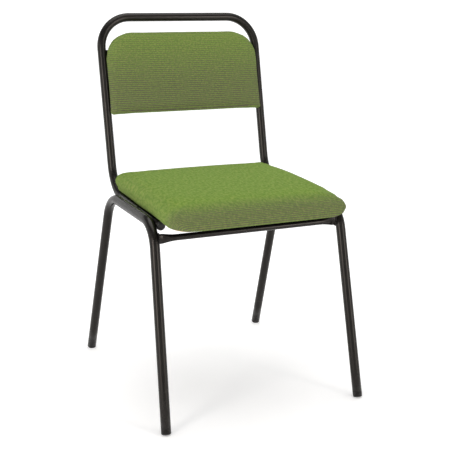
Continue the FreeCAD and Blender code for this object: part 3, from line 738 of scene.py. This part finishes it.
def stuffed(shape, voxel, travel, held):
    """Remesh a closed shape and swell it; held(co) says which points the board holds."""
    mesh = bpy.data.meshes.new("pad")
    bmesh.ops.recalc_face_normals(shape, faces=shape.faces[:])
    shape.to_mesh(mesh)
    shape.free()
    pad = bpy.data.objects.new("pad", mesh)
    bpy.context.scene.collection.objects.link(pad)
    remesh = pad.modifiers.new("even", "REMESH")
    remesh.mode = "VOXEL"
    remesh.voxel_size = voxel
    even = evaluated(pad)
    pad.modifiers.clear()
    pad.data = even
    start = [vert.co.copy() for vert in even.vertices]
    pins = pad.vertex_groups.new(name="board")
    pins.add([vert.index for vert in even.vertices if held(vert.co)], 1.0, "REPLACE")
    cloth = pad.modifiers.new("swell", "CLOTH")
    cloth.settings.quality = 5
    cloth.settings.mass = 0.3
    cloth.settings.tension_stiffness = STIFFNESS
    cloth.settings.compression_stiffness = STIFFNESS
    cloth.settings.bending_stiffness = 0.6
    cloth.settings.use_pressure = True
    cloth.settings.uniform_pressure_force = PRESSURE
    cloth.settings.vertex_group_mass = "board"
    cloth.settings.effector_weights.gravity = 0
    cloth.point_cache.frame_start = 1
    cloth.point_cache.frame_end = SWELL_FRAMES
    for step in range(1, SWELL_FRAMES + 1):
        bpy.context.scene.frame_set(step)
    swollen = evaluated(pad)
    for vert, before in zip(even.vertices, start):
        move = swollen.vertices[vert.index].co - before
        if move.length > travel:
            move *= travel / move.length
        vert.co = before + move
    pad.modifiers.clear()
    pad.vertex_groups.clear()
    bpy.context.scene.frame_set(1)
    bpy.data.objects.remove(pad)
    soft = bmesh.new()
    soft.from_mesh(even)
    return soft


# %% [markdown]
# Where a pad leans on a tube, the foam gives way and the cloth follows the tube. Each point that
# is too near the tube's axis is moved out to the tube's surface and a hair beyond.

# %% Keep clear of a tube, and lay the weave
HAIR = 0.0005
NOTCH_DEPTH = 0.024
NOTCH_FADE = 0.050


def press_against(shape, axis_points, radius):
    """Move points of a pad out of a tube that passes through them."""
    moved = 0
    runs = list(zip(axis_points[:-1], axis_points[1:]))
    for vert in shape.verts:
        for start, end in runs:
            near, share = intersect_point_line(vert.co, start, end)
            near = start if share < 0 else end if share > 1 else near
            away = vert.co - near
            if away.length < radius + HAIR:
                vert.co = near + away.normalized() * (radius + HAIR)
                moved += 1
    return moved


def notch(shape):
    """Press the seat's rear corners forwards and up, onto the curve where the rails rise.
    Between the rails the push fades out, so that the rear edge curves into its corners."""
    pressed = 0
    for vert in shape.verts:
        aside = abs(vert.co.x) - RAIL_X
        reach = BACK_TUBE + HAIR
        from_hinge = Vector((vert.co.y - SEAT_BEND_HINGE[0], vert.co.z - SEAT_BEND_HINGE[1]))
        if abs(aside) < reach:
            inner = SEAT_BEND - math.sqrt(reach ** 2 - aside ** 2)
        elif aside > 0:
            inner = SEAT_BEND
        else:
            inside = min(1.0, (-aside - reach) / NOTCH_FADE)
            inner = SEAT_BEND + NOTCH_DEPTH * inside * inside * (3 - 2 * inside)
        if from_hinge.x > 0 and from_hinge.length > inner:
            from_hinge *= inner / from_hinge.length
            vert.co.yz = SEAT_BEND_HINGE[0] + from_hinge.x, SEAT_BEND_HINGE[1] + from_hinge.y
            pressed += 1
    return pressed


def lay_weave(shape, weave):
    """Give every face corner its place on the flat cloth, in metres."""
    layer = shape.loops.layers.uv.new("weave")
    for face in shape.faces:
        for loop in face.loops:
            loop[layer].uv = weave(loop.vert.co)


print("pad helpers ready")

# %% [markdown]
# ## Seat
# The seat pad is a board with foam on it and cloth drawn over both and stapled below. Its crown is
# broad and boxy: the top is nearly flat and turns down quickly at the edge, its corners lie lower
# than the middles of its sides, and its front droops a little over the rails' ends.

# %% Seat form
SEAT_PLACE = (Matrix.Translation((0, 0, RAIL_Z + BACK_TUBE / math.cos(RAIL_SLOPE)))
              @ Matrix.Rotation(RAIL_SLOPE, 4, "X"))
SEAT_REAR = 0.1625
SEAT_FRONT = -0.2300
SEAT_HALF = (0.2030, 0.1990)
SEAT_CORNERS = (0.034, 0.030)
SEAT_LOW = 0.0011
SEAT_RIM = 0.0165
SEAT_CROWN = 0.0240
DROOP_START = -0.110
DROOP = 0.006
EDGE_TURN = 0.0062
CORNER_FALL = 0.4
SIDE_BOW = 0.005
CORNER_LIFT = 0.005
SEAT_TOP_SQUARE = 6.7       # how far out the top stays flat, and how quickly it turns down
SEAT_TOP_TURN = 3.5
SEAT_HELD = 0.006           # the cloth below this height is held by the board
SEAT_VOXEL = 0.005
SEAT_SWELL = 0.0035


def droop(y):
    return DROOP * max(0.0, (DROOP_START - y) / (DROOP_START - SEAT_FRONT)) ** 2


def seat_form(u, v, w):
    f = max(abs(u), abs(v))
    tuck = EDGE_TURN * ((1 - w) / 2) ** 1.6
    halves = [half - tuck for half in SEAT_HALF]
    x, y = in_outline(u, v, *halves, SEAT_FRONT + tuck, SEAT_REAR - tuck, *SEAT_CORNERS)
    if w > 0.999:
        corner = 1 - CORNER_FALL * abs(u * v) ** 3 * f * f
        dome = max(0.0, 1 - f ** SEAT_TOP_SQUARE) ** (1 / SEAT_TOP_TURN) * corner
        z = SEAT_RIM + SEAT_CROWN * dome + SIDE_BOW * (1 - v * v) * u ** 4
    else:
        low = SEAT_LOW + CORNER_LIFT * abs(u * v) ** 8
        z = low + (SEAT_RIM - low) * (w + 1) / 2
    return SEAT_PLACE @ Vector((x, y, z - droop(y)))


def on_seat_board(co):
    return (SEAT_PLACE.inverted() @ co).z < SEAT_HELD - droop(co.y)


seat = stuffed(padded_cube(seat_form), SEAT_VOXEL, SEAT_SWELL, on_seat_board)
print("seat:", notch(seat), "points pressed by the uprights")

# %% Seat weave and piece
WEAVE_FOLD = 0.010          # the cloth folds this far above the rim
FOLD_WIDTH = 0.025
SIDE_FOLD = 0.165
END_FOLD = 0.160
SEAT_MIDDLE_Y = -0.034


def ramp(value, start, width):
    return min(1.0, max(0.0, (value - start) / width))


def seat_weave(co):
    """Ribs run from side to side, over the top and down the front and the back."""
    place = SEAT_PLACE.inverted() @ co
    fall = max(0.0, SEAT_RIM + WEAVE_FOLD - place.z)
    from_middle = place.y - SEAT_MIDDLE_Y
    over_side = ramp(abs(place.x), SIDE_FOLD, FOLD_WIDTH)
    over_end = ramp(abs(from_middle), END_FOLD, FOLD_WIDTH)
    return (place.x + math.copysign(fall * over_side, place.x),
            place.y + math.copysign(fall * over_end, from_middle))


lay_weave(seat, seat_weave)
seat_pad = piece("seat_pad", seat, "green_cloth", ["seat_cover", "seat_foam"])
fine = seat_pad.modifiers.new("fine", "SUBSURF")
fine.levels = fine.render_levels = 1

# %% [markdown]
# ## Lining under the seat
# A thin black lining hides the board and the turned-in cloth from below. It is a grid carried
# into the seat's outline. Between its staples it hangs a little, so its middle sags and its
# edges are lightly scalloped, and over the two rails it is pressed flat.

# %% Seat lining
LINING_INSET = 0.014
LINING_CUTS = 90
LINING_LOW = 0.00045
LINING_SAG = 0.0022
LINING_CORNER = 0.032
LINING_THICK = 0.0005
STAPLE_PITCH = 0.030
SCALLOP = 0.0006
SCALLOP_REACH = 0.015
LOOSE_FROM = 0.05
RAIL_INSIDE = 0.178
BOARD_HALF = (0.202, 0.196)
BOARD_ENDS = (-0.228, 0.157)
lining_halves = [half - LINING_INSET for half in BOARD_HALF]
lining_ends = (BOARD_ENDS[0] + LINING_INSET, BOARD_ENDS[1] - LINING_INSET)
lining = bmesh.new()
bmesh.ops.create_grid(lining, x_segments=LINING_CUTS, y_segments=LINING_CUTS, size=1)
for vert in lining.verts:
    x, y = in_outline(vert.co.x, vert.co.y, *lining_halves, *lining_ends,
                      LINING_CORNER, LINING_CORNER)
    between_rails = max(0.0, 1 - (x / RAIL_INSIDE) ** 4)
    from_end = min(lining_ends[1] - y, y - lining_ends[0])
    loose = min(1.0, from_end / LOOSE_FROM)
    edge = SCALLOP * math.exp(-from_end / SCALLOP_REACH)
    scallop = edge * (1 - math.cos(TURN * x / STAPLE_PITCH))
    sag = between_rails * (LINING_SAG * loose * (2 - loose) + scallop)
    vert.co = SEAT_PLACE @ Vector((x, y, LINING_LOW - sag - droop(y)))
lining_area = sum(face.calc_area() for face in lining.faces)
seat_lining = piece("lining", lining, "black_lining", ["seat_lining"])
thin = seat_lining.modifiers.new("thin", "SOLIDIFY")
thin.thickness = LINING_THICK
thin.offset = 0
print("lining area", round(lining_area, 4), "m2")

# %% [markdown]
# ## Back pad
# The back pad is a curved board with foam in front and a thin layer behind. Its top corners are
# broad and round, its bottom corners nearly square, and it bows backwards and fills the space
# between the uprights.

# %% Back pad form
BACK_PLACE = Matrix.Translation((0, *UPRIGHT)) @ Matrix.Rotation(-RECLINE, 4, "X")
BACK_LOW = 0.1620
BACK_HIGH = 0.3480
BACK_HALF = (0.1880, 0.1905)
BACK_CORNERS = (0.003, 0.069)
RIM_FRONT = -0.0120
RIM_REAR = -0.0092
BACK_FRONT_SWELL = 0.0115
BACK_REAR_SWELL = 0.0105
BOW = 0.010
TOP_ARCH = 0.0036
SIDE_PULL = 0.0012
SIDE_PULL_HEIGHT = 0.110
CORNER_PULL = 0.0016
CORNER_PULL_HEIGHT = 0.014
PULLED_FROM = 0.9           # of the pad's half width
BACK_HELD = 0.001           # the cloth this near the rear face is held by the board
BACK_VOXEL = 0.004
BACK_SWELL = 0.003


def bow(x):
    """How far the pad lies back of its sides, at one place across."""
    return BOW * (1 - (x / BACK_HALF[0]) ** 2)


def back_form(u, v, w):
    f = max(abs(u), abs(v))
    x, z = in_outline(u, v, *BACK_HALF, BACK_LOW, BACK_HIGH, *BACK_CORNERS)
    if w < -0.999:
        y = RIM_FRONT - BACK_FRONT_SWELL * max(0.0, 1 - f ** 9) ** (1 / 2.6)
    elif w > 0.999:
        y = RIM_REAR + BACK_REAR_SWELL * max(0.0, 1 - f ** 14) ** (1 / 2.2)
    else:
        y = RIM_FRONT + (RIM_REAR - RIM_FRONT) * (w + 1) / 2
    z += TOP_ARCH * (1 - u * u) * (v + 1) / 2
    return BACK_PLACE @ Vector((x, y + bow(x), z))


def on_back_board(co):
    place = BACK_PLACE.inverted() @ co
    return place.y > bow(place.x) + RIM_REAR + BACK_REAR_SWELL - BACK_HELD


def squared(co):
    """Draw the pad's lower sides outwards and its lower corners down, as the stapled cloth does."""
    place = BACK_PLACE.inverted() @ co
    aside = max(0.0, abs(place.x) / BACK_HALF[0] - PULLED_FROM) / (1 - PULLED_FROM)
    height = place.z - BACK_LOW
    side_pull = SIDE_PULL * aside * max(0.0, 1 - height / SIDE_PULL_HEIGHT)
    corner_pull = CORNER_PULL * aside * max(0.0, 1 - height / CORNER_PULL_HEIGHT)
    shift = Vector((math.copysign(side_pull + corner_pull, place.x), 0.0, -0.5 * corner_pull))
    return BACK_PLACE @ (place + shift)


back = stuffed(padded_cube(back_form), BACK_VOXEL, BACK_SWELL, on_back_board)
for vert in back.verts:
    vert.co = squared(vert.co)
print("back pad:", press_against(back, back_axis, BACK_TUBE), "points pressed by the uprights")

# %% Back pad weave and piece
BACK_MIDDLE_Z = 0.258
ROLL_FROM = 0.075
ROLL_WIDTH = 0.015
FRONT_FACE = -0.02


def back_weave(co):
    """Ribs lie level, and the cloth rolls over the top and bottom edges."""
    place = BACK_PLACE.inverted() @ co
    deep = place.y - bow(place.x) - FRONT_FACE
    from_middle = place.z - BACK_MIDDLE_Z
    over = ramp(abs(from_middle), ROLL_FROM, ROLL_WIDTH)
    return place.x, place.z + math.copysign(deep * over, from_middle)


lay_weave(back, back_weave)
back_pad = piece("back_pad", back, "green_cloth", ["back_cover", "back_foam", "back_rear_foam"])
back_pad.data.materials[0] = back_cloth
fine = back_pad.modifiers.new("fine", "SUBSURF")
fine.levels = fine.render_levels = 1

# %% [markdown]
# ## Studio
# The room is one pale bowl, spun from an outline: a floor that curves up into a wall all round. It
# glows brighter behind the chair than in front. Big soft lights hang above, at the left and at the
# right.

# %% Floor and lights
BOWL_OUTLINE = ((0.0, 0.0), (4.0, 0.0), (4.6, 0.12), (5.0, 0.5), (5.15, 1.1), (5.2, 3.5))
BOWL_SIDES = 96
AIM = Vector((0, 0, 0.4))
WHITE = (1.0, 1.0, 1.0)
WARM_WHITE = (1.0, 0.95, 0.90)
SKY = 0.30


def bowl():
    shape = bmesh.new()
    verts = [shape.verts.new((r, 0, z)) for r, z in BOWL_OUTLINE]
    edges = [shape.edges.new(pair) for pair in zip(verts[:-1], verts[1:])]
    bmesh.ops.spin(shape, geom=verts + edges, cent=(0, 0, 0), axis=(0, 0, 1), angle=2 * math.pi,
                   steps=BOWL_SIDES, use_merge=True)
    bmesh.ops.remove_doubles(shape, verts=shape.verts[:], dist=0.0001)
    for face in shape.faces:
        face.smooth = True
    mesh = bpy.data.meshes.new("studio")
    shape.to_mesh(mesh)
    shape.free()
    return bpy.data.objects.new("studio", mesh)


pale = Finish("pale_floor", Roughness=0.9, Specular_IOR_Level=0.1, Emission_Strength=0.46)
drift = pale.noise(pale.coordinates("Object"), 1.5)
far = pale.parts(pale.coordinates("Object"))[1].between(-1.6, 1.2)
pale.wear(Base_Color=pale.mix(drift, (0.90, 0.90, 0.90, 1), (0.93, 0.93, 0.93, 1)),
          Emission_Color=pale.mix(far, (0.22, 0.22, 0.22, 1), (1, 1, 1, 1)))
studio = bowl()
studio.data.materials.append(pale.material)
bpy.context.scene.collection.objects.link(studio)


def softbox(name, place, size, power, colour):
    light = bpy.data.lights.new(name, "AREA")
    light.shape = "RECTANGLE"
    light.size, light.size_y = size
    light.energy = power
    light.color = colour
    lamp = bpy.data.objects.new(name, light)
    lamp.location = place
    lamp.rotation_euler = (AIM - lamp.location).to_track_quat("-Z", "Y").to_euler()
    bpy.context.scene.collection.objects.link(lamp)


softbox("top_light", (0.2, 0.15, 2.6), (2.2, 2.2), 33.5, WHITE)
softbox("left_light", (-2.35, -1.31, 0.85), (0.70, 1.5), 29, WARM_WHITE)
softbox("right_light", (1.41, -2.43, 0.85), (0.55, 1.5), 19, WARM_WHITE)
world = bpy.context.scene.world or bpy.data.worlds.new("sky")
bpy.context.scene.world = world
world.use_nodes = True
background = world.node_tree.nodes["Background"]
background.inputs["Color"].default_value = (*WHITE, 1)
background.inputs["Strength"].default_value = SKY
print("studio lit")
